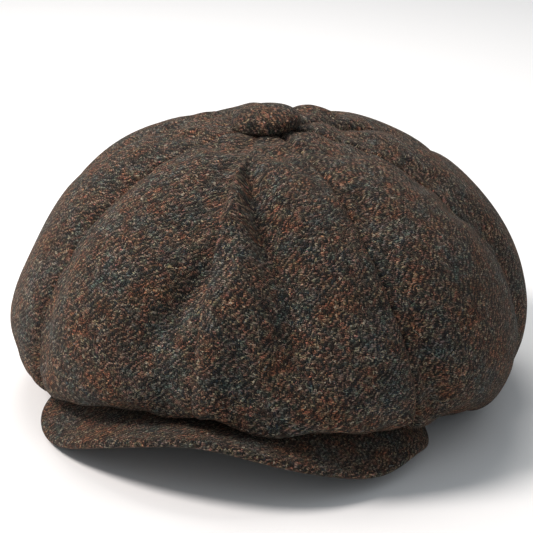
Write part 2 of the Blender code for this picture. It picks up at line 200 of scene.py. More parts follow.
# Where wear has pushed the crown out or in: azimuth and its half width in degrees, station and its
# half width, and the height in mm.
WORN_PLACES = (
    (-108, 19, 0.53, 0.13, 0.4), (-114, 16, 0.33, 0.09, -1.6), (-76, 24, 0.78, 0.24, -7.0),
    (-62, 14, 1.12, 0.12, -1.2), (-40, 13, 1.33, 0.16, 2.8), (-8, 15, 1.30, 0.14, -1.6),
    (42, 13, 1.33, 0.14, -1.6), (62, 15, 1.36, 0.20, -6.0), (157, 13, 0.27, 0.10, -1.6),
    (136, 15, 0.53, 0.11, 2.4), (-150, 11, 0.26, 0.08, -1.8), (95, 10, 1.07, 0.12, 1.8),
    (22, 14, 0.95, 0.25, 1.6), (-28, 12, 0.78, 0.22, 1.8), (64, 12, 0.62, 0.20, 1.6),
    (178, 12, 0.7, 0.2, 1.8), (163, 14, 0.17, 0.06, 3.2), (126, 12, 0.20, 0.07, -2.2),
    (-168, 9, 0.45, 0.2, -2.0), (165, 8, 0.9, 0.2, -2.2), (-140, 10, 0.85, 0.22, -2.0),
    (2, 8, 1.26, 0.14, -3.4), (12.5, 7.5, 1.20, 0.14, 3.4), (55, 7, 1.27, 0.12, -1.6),
)
# Dents beside the seams: azimuth of the seam in degrees, depth in mm and half width in degrees.
SEAM_DENTS = ((45, 3.6, 3.6), (90, 4.2, 4.6), (-45, 1.6, 5.0), (135, 1.6, 5.0), (-135, 1.6, 5.0))
SEAM_DENT_OFFSET = 3.5             # degrees from the seam to the middle of its dent


def soft_shape(azimuth, station, radius):
    """How far the worn cloth stands out from the crown as cut, in metres."""
    across = ((azimuth - SEAM_TWIST) / GORE_ANGLE) % 1.0
    hang = 1 - smooth(1.05, CURL_END, station)
    near_button = smooth(16 * MM, 52 * MM, radius)
    out = 3.0 * MM * np.sin(math.pi * across) ** 1.3 * near_button * hang
    out += 0.7 * MM * np.sin(math.pi * across) * bump(radius, 30 * MM, 14 * MM) * (station < 1)

    front = wrap(azimuth - SEAM_TWIST)
    down = np.clip(station, 0, 1.3)
    crest = math.radians(0.3) + math.radians(2.6) * smooth(0.15, 0.4, down)
    ridge = bump(front, crest, math.radians(3.2) + math.radians(3) * down)
    out += 5.0 * MM * ridge * smooth(0.1, 0.3, down) * hang
    for seam, depth, wide in SEAM_DENTS:
        beside = bump(front, math.radians(seam + SEAM_DENT_OFFSET), math.radians(wide))
        out -= depth * MM * beside * smooth(0.18, 0.42, down) * (1 - smooth(1.0, 1.25, station))
    # right of the ridge the cloth drops steeply and comes back slowly; left of it is a softer slanting dip
    right_line = math.radians(5.0) + math.radians(16.0) * smooth(0.15, 0.72, down)
    steep = math.radians(2.6) + math.radians(2.8) * smooth(0.25, 0.65, down)
    gentle = math.radians(4.5) + math.radians(7.0) * smooth(0.2, 0.6, down)
    right_depth = smooth(0.08, 0.51, down) * (1 - smooth(0.66, 1.02, down))
    out -= 13.5 * MM * bump(front, right_line, np.where(front < right_line, steep, gentle)) * right_depth
    left_line = math.radians(2.6) - math.radians(34) * (down - 0.45)
    left_depth = smooth(0.38, 0.60, down) * (1 - smooth(0.70, 0.96, down))
    out -= 6.0 * MM * bump(front, left_line, math.radians(5.2)) * left_depth
    for place, wide, at, reach, height in WORN_PLACES:
        out += height * MM * bump(wrap(azimuth - math.radians(place)), 0, math.radians(wide)) \
            * bump(station, at, reach) * (1 - smooth(1.45, 1.65, station))
    return out


def seam_drift(azimuth, station):
    """How far the hanging cloth has swung round the head, in radians."""
    right = bump(wrap(azimuth), math.radians(44), math.radians(26)) * smooth(0.5, 1.25, station)
    return math.radians(4.0) * right * (1 - smooth(1.45, 1.8, station))


class MoveField:
    """Movement of the cloth on a grid of stations and azimuths, read back between its points."""

    def __init__(self, stations, columns, moves):
        self.stations, self.columns, self.moves = stations, columns, moves

    def at(self, azimuth, station):
        row = np.interp(station, self.stations, np.arange(len(self.stations)))
        column = ((azimuth - SEAM_TWIST) / (2 * math.pi) % 1.0) * self.columns
        total = np.zeros(np.shape(row) + (3,))
        row_base, column_base = np.floor(row).astype(int), np.floor(column).astype(int)
        for i, row_weight in zip(range(-1, 3), catmull_rom(row - row_base)):
            for j, column_weight in zip(range(-1, 3), catmull_rom(column - column_base)):
                rows = np.clip(row_base + i, 0, len(self.stations) - 1)
                weight = (row_weight * column_weight)[..., None]
                total += weight * self.moves[rows, (column_base + j) % self.columns]
        return total


def catmull_rom(t):
    return (0.5 * (-t + 2 * t ** 2 - t ** 3), 0.5 * (2 - 5 * t ** 2 + 3 * t ** 3),
            0.5 * (t + 4 * t ** 2 - 3 * t ** 3), 0.5 * (-t ** 2 + t ** 3))


settled = {}


def crown_point(azimuth, station, depth):
    """Point on the soft crown, `depth` inside its face."""
    out = soft_shape(azimuth, station, crown_profile(azimuth, station)[0])
    plain_azimuth = azimuth
    azimuth = azimuth + seam_drift(azimuth, station)
    radius, height = crown_profile(azimuth, station)
    in_r, in_z = inward_normal(azimuth, station)
    radius2 = radius + in_r * (depth - out)
    height2 = height + in_z * (depth - out)
    point = polar(radius2, azimuth, height2)
    lean = np.where(station < 1, np.clip(1 - radius2 / crown_radius(azimuth), 0, None), 0.0)
    point[..., :2] += APEX_SHIFT * lean[..., None]
    if settled:
        point += settled["move"].at(plain_azimuth, station)
    low = 0.5 * MM + depth
    near = 1.5 * MM
    above = point[..., 2] - low
    point[..., 2] = low + np.where(above > near, above, near * np.exp(np.minimum(above / near - 1, 0)))
    return point


def stations_between(tip, rows):
    """Stations from a gore's tip to its sewn edge, evenly spaced along the cloth."""
    dense = np.linspace(0.0, TURN_END, 1200)
    radius, height = crown_profile(np.full_like(dense, math.radians(70)), dense)
    length = np.concatenate([[0], np.cumsum(np.hypot(np.diff(radius), np.diff(height)))])
    start = np.interp(tip, radius[dense < 0.5], length[dense < 0.5])
    return np.interp(np.linspace(start, length[-1], rows), length, dense)


# ---- mesh helpers --------------------------------------------------------------------------------

def grid_object(name, points, weave, flip=False):
    """An open sheet from a grid of points (rows, columns, 3), with cloth distances as its UV map."""
    rows, columns = points.shape[:2]
    index = np.arange(rows * columns).reshape(rows, columns)
    quads = np.stack([index[:-1, :-1], index[:-1, 1:], index[1:, 1:], index[1:, :-1]], -1).reshape(-1, 4)
    if flip:
        quads = quads[:, ::-1]
    mesh = bpy.data.meshes.new(name)
    mesh.from_pydata(points.reshape(-1, 3).tolist(), [], quads.tolist())
    layer = mesh.uv_layers.new(name=WEAVE)
    layer.data.foreach_set("uv", weave.reshape(-1, 2)[quads.ravel()].astype(np.float32).ravel())
    mesh.shade_smooth()
    item = bpy.data.objects.new(name, mesh)
    bpy.context.scene.collection.objects.link(item)
    return item


def thicken(item, thickness):
    solid = item.modifiers.new("Thickness", "SOLIDIFY")
    solid.thickness = thickness
    solid.offset = -1.0
    solid.use_rim = True


def settle(item, material, body, slot, *nodes):
    """Gives a piece its material and body, and hides the CAD nodes that it stands for."""
    item.data.materials.append(material)
    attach(item, body)
    if nodes:
        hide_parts(*nodes)


def walked(points):
    """Distance covered at each point of a row, from its first."""
    return np.concatenate([[0], np.cumsum(np.linalg.norm(np.diff(points, axis=0), axis=-1))])


# ---- cloth simulation ----------------------------------------------------------------------------

SIM_COLUMNS_PER_GORE = 22
SIM_ROWS = 58
SIM_FRAMES = 20
SIM_CAP = 4.0 * MM


def soften(moves, times):
    rows = np.arange(len(moves))
    for _ in range(times):
        around = (np.roll(moves, 1, 1) + np.roll(moves, -1, 1)) / 2
        beside = (moves[np.maximum(rows - 1, 0)] + moves[np.minimum(rows + 1, rows[-1])]) / 2
        moves = 0.5 * moves + 0.25 * around + 0.25 * beside
    return moves


def settle_crown():
    """Lets the whole crown, as one cloth held at its seams and band, swell and crease a little."""
    columns = SIM_COLUMNS_PER_GORE * len(GORES)
    stations = stations_between(9 * MM, SIM_ROWS)
    azimuth = SEAM_TWIST + 2 * math.pi * np.arange(columns) / columns
    grid_azimuth, grid_station = np.meshgrid(azimuth, stations)
    start = crown_point(grid_azimuth, grid_station, 0.0)
    index = np.arange(SIM_ROWS * columns).reshape(SIM_ROWS, columns)
    side = np.roll(index, -1, axis=1)
    quads = np.stack([index[:-1], index[1:], side[1:], side[:-1]], -1).reshape(-1, 4)
    mesh = bpy.data.meshes.new("crown_cloth_study")
    mesh.from_pydata(start.reshape(-1, 3).tolist(), [], quads.tolist())
    study = bpy.data.objects.new("crown_cloth_study", mesh)
    bpy.context.scene.collection.objects.link(study)

    across = np.abs((grid_azimuth - SEAM_TWIST) / GORE_ANGLE % 1.0 - 0.5) * 2
    hold = np.where(across > 0.97, 0.55, 0.0)
    hold = np.maximum(hold, smooth(1.3, 1.55, grid_station))
    hold = np.maximum(hold, 1 - smooth(12 * MM, 26 * MM, crown_profile(grid_azimuth, grid_station)[0]))
    group = study.vertex_groups.new(name="held")
    for number, weight in enumerate(np.round(hold, 2).ravel()):
        if weight > 0:
            group.add([number], float(weight), "REPLACE")
    cloth = study.modifiers.new("Cloth", "CLOTH")
    cloth.settings.quality = 6
    cloth.settings.mass = 0.25
    cloth.settings.tension_stiffness = 12
    cloth.settings.compression_stiffness = 12
    cloth.settings.shear_stiffness = 6
    cloth.settings.bending_stiffness = 1.2
    cloth.settings.vertex_group_mass = "held"
    cloth.settings.pin_stiffness = 1.0
    cloth.settings.shrink_min = -0.05
    cloth.settings.use_pressure = True
    cloth.settings.uniform_pressure_force = 0.6
    cloth.settings.effector_weights.gravity = 0.0
    cloth.point_cache.frame_start = 1
    cloth.point_cache.frame_end = SIM_FRAMES
    for step in range(1, SIM_FRAMES + 1):
        bpy.context.scene.frame_set(step)
    result = study.evaluated_get(bpy.context.evaluated_depsgraph_get()).to_mesh()
    end = np.empty(len(result.vertices) * 3)
    result.vertices.foreach_get("co", end)
    moves = end.reshape(start.shape) - start
    bpy.data.objects.remove(study)
    bpy.context.scene.frame_set(1)
    length = np.linalg.norm(moves, axis=-1, keepdims=True)
    moves *= SIM_CAP * np.tanh(length / SIM_CAP) / np.maximum(length, 1e-9)
    moves = np.round(moves, 6)
    moves *= (1 - smooth(1.3, 1.5, stations))[:, None, None]
    settled["move"] = MoveField(stations, columns, soften(moves, 2) - soften(moves, 120))


# ---- materials -----------------------------------------------------------------------------------

def linear(*srgb):
    return tuple(c / 12.92 if c <= 0.04045 else ((c + 0.055) / 1.055) ** 2.4 for c in srgb)


class Nodes:
    """Short calls for building a material's node tree."""

    def __init__(self, name):
        self.material = bpy.data.materials.new(name)
        self.material.use_nodes = True
        self.tree = self.material.node_tree
        self.shader = self.tree.nodes["Principled BSDF"]

    def put(self, socket, value):
        if isinstance(value, bpy.types.NodeSocket):
            self.tree.links.new(value, socket)
        elif value is not None:
            socket.default_value = value

    def add(self, kind, *values, out=0, **settings):
        node = self.tree.nodes.new("ShaderNode" + kind)
        for key, value in settings.items():
            setattr(node, key, value)
        for socket, value in zip(node.inputs, values):
            self.put(socket, value)
        return node.outputs[out]

    def math(self, operation, a, b=None, c=None):
        return self.add("Math", a, b, c, operation=operation)

    def vector(self, x, y, z=0.0):
        return self.add("CombineXYZ", x, y, z)

    def split(self, vector):
        node = self.tree.nodes.new("ShaderNodeSeparateXYZ")
        self.put(node.inputs[0], vector)
        return node.outputs

    def mix(self, factor, a, b, blend="MIX"):
        node = self.tree.nodes.new("ShaderNodeMix")
        node.data_type = "RGBA"
        node.blend_type = blend
        node.clamp_factor = True
        self.put(node.inputs["Factor"], factor)
        self.put(node.inputs[6], a if isinstance(a, bpy.types.NodeSocket) else (*a, 1.0))
        self.put(node.inputs[7], b if isinstance(b, bpy.types.NodeSocket) else (*b, 1.0))
        return node.outputs[2]

    def noise(self, vector, scale, detail=2.0, roughness=0.5, out=0):
        node = self.tree.nodes.new("ShaderNodeTexNoise")
        self.put(node.inputs["Vector"], vector)
        node.inputs["Scale"].default_value = scale
        node.inputs["Detail"].default_value = detail
        node.inputs["Roughness"].default_value = roughness
        return node.outputs[out]

    def random(self, vector):
        return self.add("TexWhiteNoise", vector, noise_dimensions="3D")

    def ramp(self, value, stops, interpolation="CONSTANT"):
        node = self.tree.nodes.new("ShaderNodeValToRGB")
        node.color_ramp.interpolation = interpolation
        elements = node.color_ramp.elements
        while len(elements) < len(stops):
            elements.new(1.0)
        for element, (position, colour) in zip(elements, stops):
            element.position = position
            element.color = (*colour, 1.0)
        self.put(node.inputs[0], value)
        return node.outputs[0]

    def uv(self):
        return self.add("UVMap", uv_map=WEAVE)

    def bump(self, height, distance, strength=1.0, below=None):
        node = self.tree.nodes.new("ShaderNodeBump")
        node.inputs["Strength"].default_value = strength
        node.inputs["Distance"].default_value = distance
        self.put(node.inputs["Height"], height)
        if below is not None:
            self.put(node.inputs["Normal"], below)
        return node.outputs[0]

    def finish(self, **values):
        for name, value in values.items():
            self.put(self.shader.inputs[name.replace("_", " ")], value)
        return self.material


# mixtures of the two yarns: (share of floats, sRGB colour), darker in the warp and lighter in the weft
WARP_YARNS = ((0.19, (0.115, 0.108, 0.105)), (0.14, (0.105, 0.13, 0.17)), (0.12, (0.12, 0.155, 0.135)),
              (0.16, (0.215, 0.175, 0.155)), (0.13, (0.31, 0.24, 0.195)), (0.08, (0.28, 0.165, 0.18)),
              (0.08, (0.37, 0.31, 0.26)), (0.06, (0.34, 0.32, 0.24)), (0.03, (0.25, 0.30, 0.31)),
              (0.01, (0.50, 0.19, 0.17)))
WEFT_YARNS = ((0.18, (0.385, 0.305, 0.25)), (0.14, (0.44, 0.34, 0.315)), (0.12, (0.47, 0.405, 0.31)),
              (0.11, (0.24, 0.20, 0.18)), (0.11, (0.37, 0.35, 0.26)), (0.05, (0.49, 0.33, 0.25)),
              (0.09, (0.40, 0.385, 0.36)), (0.04, (0.57, 0.47, 0.29)), (0.027, (0.60, 0.21, 0.20)),
              (0.033, (0.27, 0.31, 0.33)), (0.10, (0.14, 0.135, 0.14)))
YARN_PITCH = 0.94 * MM


def shares(yarns):
    stops, start = [], 0.0
    for share, colour in yarns:
        stops.append((start, linear(*colour)))
        start += share
    return stops


def blend_float(n, factor, a, b):
    out = n.add("Mix", factor)
    n.put(out.node.inputs[2], a)
    n.put(out.node.inputs[3], b)
    return out


def tweed(name, seed, turn=0.0):
    """A 2/2 twill of mixed woollen yarns with coloured flecks and stray curly hairs."""
    n = Nodes(name)
    turned = n.add("VectorRotate", n.uv(), None, None, turn, rotation_type="Z_AXIS")
    place = turned
    for scale, reach in ((95.0, 3.0 * MM), (360.0, 2.3 * MM)):
        wander = n.noise(turned, scale, 2.0, out=1)
        shift = n.add("VectorMath", wander, (0.5, 0.5, 0.5), operation="SUBTRACT")
        shift = n.add("VectorMath", shift, operation="SCALE")
        shift.node.inputs["Scale"].default_value = reach
        place = n.add("VectorMath", place, shift, operation="ADD")
    yarns = (1 / YARN_PITCH, 1 / YARN_PITCH, 1.0)
    x, y, _ = n.split(n.add("VectorMath", place, yarns, operation="MULTIPLY"))
    column, row = n.math("FLOOR", x), n.math("FLOOR", y)
    fx, fy = n.math("FRACT", x), n.math("FRACT", y)
    breaks = n.math("FLOOR", n.math("MULTIPLY", n.noise(turned, 190.0, 1.0), 9.0))
    diagonal = n.math("ADD", n.math("ADD", column, row), breaks)
    phase = n.math("FLOORED_MODULO", diagonal, 4.0)
    warp_over = n.math("LESS_THAN", phase, 1.5)

    def yarn_round(f):
        side = n.math("ABSOLUTE", n.math("MULTIPLY_ADD", f, 2.0, -1.0))
        return n.math("SUBTRACT", 1.0, n.math("POWER", side, 2.2))

    def float_round(f, start):
        along = n.math("MULTIPLY", n.math("ADD", n.math("SUBTRACT", phase, start), f), 0.5 * math.pi)
        return n.math("POWER", n.math("MAXIMUM", n.math("SINE", along), 0.0), 0.7)

    warp_height = n.math("MULTIPLY", yarn_round(fx), float_round(fy, 0.0))
    weft_height = n.math("MULTIPLY", yarn_round(fy), float_round(fx, 2.0))
    height = blend_float(n, warp_over, weft_height, warp_height)

    def streaks(scale):
        return n.noise(n.add("VectorMath", place, scale, operation="MULTIPLY"), 1.0, 3.0, 0.6)

    fibre = blend_float(n, warp_over, streaks((900.0, 3200.0, 1.0)), streaks((3200.0, 900.0, 1.0)))

    # each float takes one colour of its yarn's mixture
    warp_float = n.math("FLOOR", n.math("MULTIPLY", diagonal, 0.25))
    weft_float = n.math("FLOOR", n.math("MULTIPLY", n.math("ADD", diagonal, -2.0), 0.25))
    warp_random = n.random(n.vector(column, warp_float, seed))
    weft_random = n.random(n.vector(weft_float, row, seed + 7.3))
    cluster = n.math("MULTIPLY", n.noise(turned, 190.0, 2.0), 2.0)

    def pick(value):
        return n.math("FRACT", n.math("MULTIPLY_ADD", value, 0.6, cluster))

    warp_colour = n.ramp(pick(warp_random), shares(WARP_YARNS))
    weft_colour = n.ramp(pick(weft_random), shares(WEFT_YARNS))
    colour = n.mix(warp_over, weft_colour, warp_colour)
    colour = n.add("HueSaturation", 0.5, 0.66, 1.0, 1.0, colour)
    colour = n.mix(1.0, colour, (1.0, 0.865, 0.907), "MULTIPLY")
    for place_scale, detail, cold, warm in ((42.0, 4.0, (0.74, 0.885, 0.92), (1.0, 0.865, 0.74)),
                                            (230.0, 1.0, (0.85, 0.955, 0.93), (1.0, 0.89, 0.845))):
        middle = tuple((a + b) / 2 for a, b in zip(cold, warm))
        tint = n.ramp(n.noise(turned, place_scale, detail, 0.7),
                      [(0.38, linear(*cold)), (0.5, linear(*middle)), (0.63, linear(*warm))], "LINEAR")
        colour = n.mix(1.0, colour, tint, "MULTIPLY")
    # base colour darkened where the weave is low, between yarns and at float ends: painted shade. The fibre,
    # unevenness, slub and patch factors below are the cloth's own tone
    weave_shade_and_tone = n.math("MULTIPLY_ADD", height, 1.30, 0.305)
    weave_shade_and_tone = n.math("MULTIPLY", weave_shade_and_tone, n.math("MULTIPLY_ADD", fibre, 1.4, 0.36))
    uneven = n.math("FRACT", n.math("MULTIPLY", n.math("ADD", warp_random, weft_random), 7.31))
    weave_shade_and_tone = n.math("MULTIPLY", weave_shade_and_tone, n.math("MULTIPLY_ADD", uneven, 0.92, 0.575))
    weft_slubs = n.noise(n.add("VectorMath", place, (35.0, 420.0, 1.0), operation="MULTIPLY"), 1.0, 2.0)
    warp_slubs = n.noise(n.add("VectorMath", place, (480.0, 25.0, 1.0), operation="MULTIPLY"), 1.0, 2.0)
    slubs = n.math("ADD", weft_slubs, warp_slubs)
    patches = n.math("MULTIPLY_ADD", slubs, 0.45, n.noise(turned, 110.0, 3.0, 0.65))
    weave_shade_and_tone = n.math("MULTIPLY", weave_shade_and_tone, n.math("MULTIPLY_ADD", patches, 1.7, -0.56))
    colour = n.mix(1.0, colour, n.add("CombineColor", weave_shade_and_tone, weave_shade_and_tone, weave_shade_and_tone), "MULTIPLY")

    # stray hairs: thin contour lines of a noise, kept only in short stretches
    lines = n.math("ABSOLUTE", n.math("ADD", n.noise(place, 340.0, 1.5, 0.5), -0.5))
    thin = n.math("LESS_THAN", lines, 0.028)
    elsewhere = n.add("VectorMath", turned, (3.1, 1.7, seed), operation="ADD")
    short = n.math("GREATER_THAN", n.noise(elsewhere, 420.0, 1.0), 0.61)
    hair = n.math("MULTIPLY", n.math("MULTIPLY", thin, short), 0.6)
    hair_colour = n.ramp(n.noise(turned, 210.0, 1.0),
                         [(0.0, linear(0.56, 0.38, 0.28)), (0.42, linear(0.72, 0.68, 0.60)),
                          (0.54, linear(0.66, 0.58, 0.42)), (0.63, linear(0.44, 0.45, 0.44))], "LINEAR")
    colour = n.mix(hair, colour, hair_colour)
    relief = n.math("MULTIPLY_ADD", hair, 0.5, n.math("MULTIPLY_ADD", fibre, 0.6, height))
    material = n.finish(Base_Color=colour, Roughness=0.92, Normal=n.bump(relief, 0.5 * MM, 0.9))
    n.shader.inputs["Sheen Weight"].default_value = 0.14
    n.shader.inputs["Sheen Roughness"].default_value = 0.5
    n.shader.inputs["Sheen Tint"].default_value = (*linear(0.72, 0.60, 0.52), 1.0)
    n.shader.inputs["Specular IOR Level"].default_value = 0.18
    return material


def satin(name):
    n = Nodes(name)
    uv = n.uv()
    threads = n.noise(n.add("VectorMath", uv, (300.0, 5200.0, 1.0), operation="MULTIPLY"), 1.0, 3.0)
    base = n.mix(threads, linear(0.20, 0.145, 0.125), linear(0.31, 0.225, 0.19))
    normal = n.bump(threads, 0.05 * MM, 0.6)
    material = n.finish(Base_Color=base, Roughness=0.38, Normal=normal)
    n.shader.inputs["Sheen Weight"].default_value = 0.15
    n.shader.inputs["Anisotropic"].default_value = 0.5
    return material


def ribbed(name):
    """Grosgrain: ribs across the ribbon, with fine threads over them."""
    n = Nodes(name)
    uv = n.uv()
    x, y, _ = n.split(uv)
    ribs = n.math("SINE", n.math("MULTIPLY", x, 2 * math.pi / (0.95 * MM)))
    threads = n.noise(n.add("VectorMath", uv, (900.0, 5200.0, 1.0), operation="MULTIPLY"), 1.0, 2.0)
    lift = n.math("MULTIPLY_ADD", ribs, 0.5, 0.5)
    # colour darker in the grooves between ribs, from the rib height: painted shade. The thread noise is the
    # ribbon's own tone
    hollow_shade_and_tone = n.math("MULTIPLY_ADD", lift, 0.35, n.math("MULTIPLY", threads, 0.65))
    base = n.mix(hollow_shade_and_tone, linear(0.10, 0.08, 0.07), linear(0.26, 0.20, 0.165))
    normal = n.bump(n.math("MULTIPLY_ADD", threads, 0.3, lift), 0.22 * MM, 0.9)
    material = n.finish(Base_Color=base, Roughness=0.62, Normal=normal)
    n.shader.inputs["Sheen Weight"].default_value = 0.2
    return material


def plain_weave(name, dark, light, pitch):
    n = Nodes(name)
    uv = n.uv()
    x, y, _ = n.split(uv)
    across = n.math("SINE", n.math("MULTIPLY", x, 2 * math.pi / pitch))
    along = n.math("SINE", n.math("MULTIPLY", y, 2 * math.pi / pitch))
    lift = n.math("MULTIPLY_ADD", n.math("MULTIPLY", across, along), 0.5, 0.5)
    grain = n.noise(uv, 1900.0, 3.0)
    # colour darker where the weave is low between thread crossings: painted shade. The grain noise is the
    # cloth's own tone
    hollow_shade_and_tone = n.math("MULTIPLY_ADD", lift, 0.5, n.math("MULTIPLY", grain, 0.5))
    normal = n.bump(n.math("ADD", lift, grain), 0.12 * MM, 0.8)
    return n.finish(Base_Color=n.mix(hollow_shade_and_tone, dark, light), Roughness=0.85, Normal=normal)


def solid_grain(name, dark, light, roughness, metallic, scale):
    """For the hard inner parts: object coordinates, a fine grain and faint scuffs."""
    n = Nodes(name)
    place = n.add("TexCoord", out=3)
    grain = n.noise(place, scale, 4.0, 0.6)
    scuff = n.noise(place, scale * 0.12, 3.0)
    normal = n.bump(grain, 0.04 * MM, 0.5)
    rough = n.math("MULTIPLY_ADD", scuff, 0.2, roughness - 0.1)
    return n.finish(Base_Color=n.mix(grain, dark, light), Roughness=rough, Metallic=metallic, Normal=normal)


def floor_material():
    n = Nodes("studio_floor")
    grain = n.noise(n.add("TexCoord", out=3), 3.0, 2.0)
    return n.finish(Base_Color=n.mix(grain, (0.83, 0.83, 0.825), (0.85, 0.85, 0.845)), Roughness=0.8)


# ---- pieces --------------------------------------------------------------------------------------

# how far the cloth rolls in at each seam, from the front one round towards +X
SEAM_DEPTHS = (0.5 * MM, 1.8 * MM, 1.6 * MM, 1.2 * MM, 1.1 * MM, 1.2 * MM, 1.2 * MM, 0.9 * MM)
SEAM_ROLL = 1.5 * MM               # reach of that roll from the seam
ALLOWANCE_RISE = 0.45 * MM         # the seam allowance lifts the cloth beside the seam

HEADBAND_CLOTH = 1.8 * MM
SWEATBAND_CLOTH = 1.0 * MM
SWEATBAND_DEPTH = 3.5 * MM         # its outer side, from the headband's face
STITCHES = 176                     # in each row round the sweatband
STITCH_THREAD = 0.28 * MM
LABEL_WIDTH, LABEL_HEIGHT = 40.0 * MM, 17.6 * MM
LABEL_CLOTH = 0.3 * MM
LABEL_RISE = 7.2 * MM              # its lower edge, from the rim
ALLOWANCE_REACH = 14.0 * MM        # the peak's seam allowance, above the rim
ALLOWANCE_DROP = 2.0 * MM          # and below it
ALLOWANCE_CLOTH = 0.22 * MM


def gore_grid(gore, tip, depth, rows, columns, seamed):
    """Grid of one gore's face, `depth` inside the face of the crown.

    With `seamed`, the two long edges roll in at the seams, over a raised seam allowance. Without it, the
    sheet is a lining, set further in beside the seams and round the steep front folds.
    """
    station = stations_between(tip, rows)[:, None]
    across = (0.5 - 0.5 * np.cos(np.linspace(0, math.pi, columns)))[None, :]
    azimuth = SEAM_TWIST + (gore + across) * GORE_ANGLE + 0 * station
    station = station + 0 * across
    radius, _ = crown_profile(azimuth, station)
    from_start = across * GORE_ANGLE * radius
    from_end = (1 - across) * GORE_ANGLE * radius
    start_depth, end_depth = SEAM_DEPTHS[gore], SEAM_DEPTHS[(gore + 1) % len(GORES)]
    roll = start_depth * np.exp(-(from_start / SEAM_ROLL) ** 1.6)
    roll = roll + end_depth * np.exp(-(from_end / SEAM_ROLL) ** 1.6)
    allowance = ALLOWANCE_RISE * smooth(0, 2 * MM, from_start) * (1 - smooth(6 * MM, 8.5 * MM, from_start))
    if seamed:
        inside = depth + roll - allowance
    else:
        nearest = np.minimum(from_start, from_end)
        front = bump(wrap(azimuth - SEAM_TWIST), math.radians(3), math.radians(24))
        steep = front * smooth(0.0, 0.1, station)
        spare = 1.3 * MM * np.exp(-(nearest / (5 * MM)) ** 2) * smooth(0.0, 0.06, station)
        spare = spare + 2.8 * MM * steep
        inside = depth + spare * (1 - smooth(1.1, 1.5, station))
    points = crown_point(azimuth, station, inside)
    along = walked(points[:, columns // 2])[:, None] + 0 * across
    weave = np.stack([(across - 0.5) * GORE_ANGLE * radius, along], -1)
    return points, weave


def make_gore(name, grid, thickness, material, slot, node):
    points, weave = grid
    piece = grid_object(name, points, weave, flip=True)
    thicken(piece, thickness)
    settle(piece, material, "cap", slot, node)


def make_crown(cloths, lining_cloth):
    for gore, place in enumerate(GORES):
        grid = gore_grid(gore, GORE_TIP, 0.0, 110, 37, True)
        cloth = cloths[gore % len(cloths)]
        make_gore(f"crown_gore_{place}", grid, CLOTH, cloth, "crown_tweed", f"crown_panel_{place}")
    for gore, place in enumerate(GORES):
        grid = gore_grid(gore, LINING_TIP, LINING_DEPTH, 64, 21, False)
        make_gore(f"lining_gore_{place}", grid, LINING_CLOTH, lining_cloth, "lining_satin",
                  f"lining_panel_{place}")


def band_ring(name, face_depth, thickness, low, high, columns, seam_azimuth=math.pi):
    """A closed cloth ring with rounded edges and a pressed seam across it at the back."""
    half = thickness / 2
    edge = np.linspace(0, math.pi, 7)
    rows = np.linspace(0, 1, 12)[1:-1]
    # cross-section, going up the inside and down the outside: (depth from the face, height above the rim)
    section = [(half - half * math.cos(a), high - half + half * math.sin(a)) for a in edge]
    section += [(thickness, high - half - t * (high - low - thickness)) for t in rows]
    section += [(half + half * math.cos(a), low + half - half * math.sin(a)) for a in edge]
    section += [(0.0, low + half + t * (high - low - thickness)) for t in rows]
    section.append(section[0])
    section = np.array(section)
    azimuth = np.linspace(-math.pi, math.pi, columns + 1)
    radius = band_radius(azimuth)
    seam = np.exp(-(wrap(azimuth - seam_azimuth) * radius / (1.2 * MM)) ** 2) * min(0.5 * MM, thickness * 0.3)
    middle = np.abs(section[:, 0] - half) < half * 0.999
    inward = np.where(section[:, 0] < half, 1, -1)
    depth = section[:, 0][:, None] + seam * inward[:, None] * ~middle[:, None]
    r = radius[None, :] - face_depth - depth
    point = polar(r, azimuth[None, :], 0 * r)
    point[..., 2] = rim_height(point[..., 1] - CENTRE_Y) + section[:, 1][:, None]
    around = walked(point[0])
    steps = np.concatenate([[0], np.cumsum(np.hypot(*np.diff(section, axis=0).T))])
    weave = np.stack(np.broadcast_arrays(around[None, :], steps[:, None]), -1)
    item = grid_object(name, point, weave)
    close_grid(item)
    return item


def close_grid(item):
    """Welds a grid whose ends meet into one closed body with its faces pointing out."""
    mesh = bmesh.new()
    mesh.from_mesh(item.data)
    bmesh.ops.remove_doubles(mesh, verts=mesh.verts, dist=0.00001)
    bmesh.ops.recalc_face_normals(mesh, faces=mesh.faces)
    if mesh.calc_volume(signed=True) < 0:
        bmesh.ops.reverse_faces(mesh, faces=mesh.faces)
    mesh.to_mesh(item.data)
    mesh.free()
    item.data.shade_smooth()


def stitch_row(name, starts, ends, lifts, thickness, material, body, slot):
    """One object of separate stitches: short rounded lengths of thread from start to end."""
    rings, sides = 7, 8
    t = np.linspace(0, 1, rings)
    verts, faces = [], []
    for start, end, lift in zip(starts, ends, lifts):
        along = (end - start) / np.linalg.norm(end - start)
        up = lift / np.linalg.norm(lift)
        side = np.cross(along, up)
        base = len(verts)
        for k in range(rings):
            arc = math.sin(math.pi * t[k])
            centre = start + (end - start) * t[k] + up * thickness * (0.9 * arc - 0.35)
            size = thickness * (0.35 + 0.65 * math.sqrt(arc))
            for s in range(sides):
                a = 2 * math.pi * s / sides
                verts.append(centre + size * (math.cos(a) * side + math.sin(a) * up))
        for k in range(rings - 1):
            for s in range(sides):
                a, b = base + k * sides + s, base + k * sides + (s + 1) % sides
                faces.append((a, b, b + sides, a + sides))
        faces.append(tuple(base + s for s in range(sides))[::-1])
        faces.append(tuple(base + (rings - 1) * sides + s for s in range(sides)))
    mesh = bpy.data.meshes.new(name)
    mesh.from_pydata([tuple(v) for v in verts], [], faces)
    mesh.uv_layers.new(name=WEAVE)
    item = bpy.data.objects.new(name, mesh)
    bpy.context.scene.collection.objects.link(item)
    close_grid(item)
    settle(item, material, body, slot)
    return item


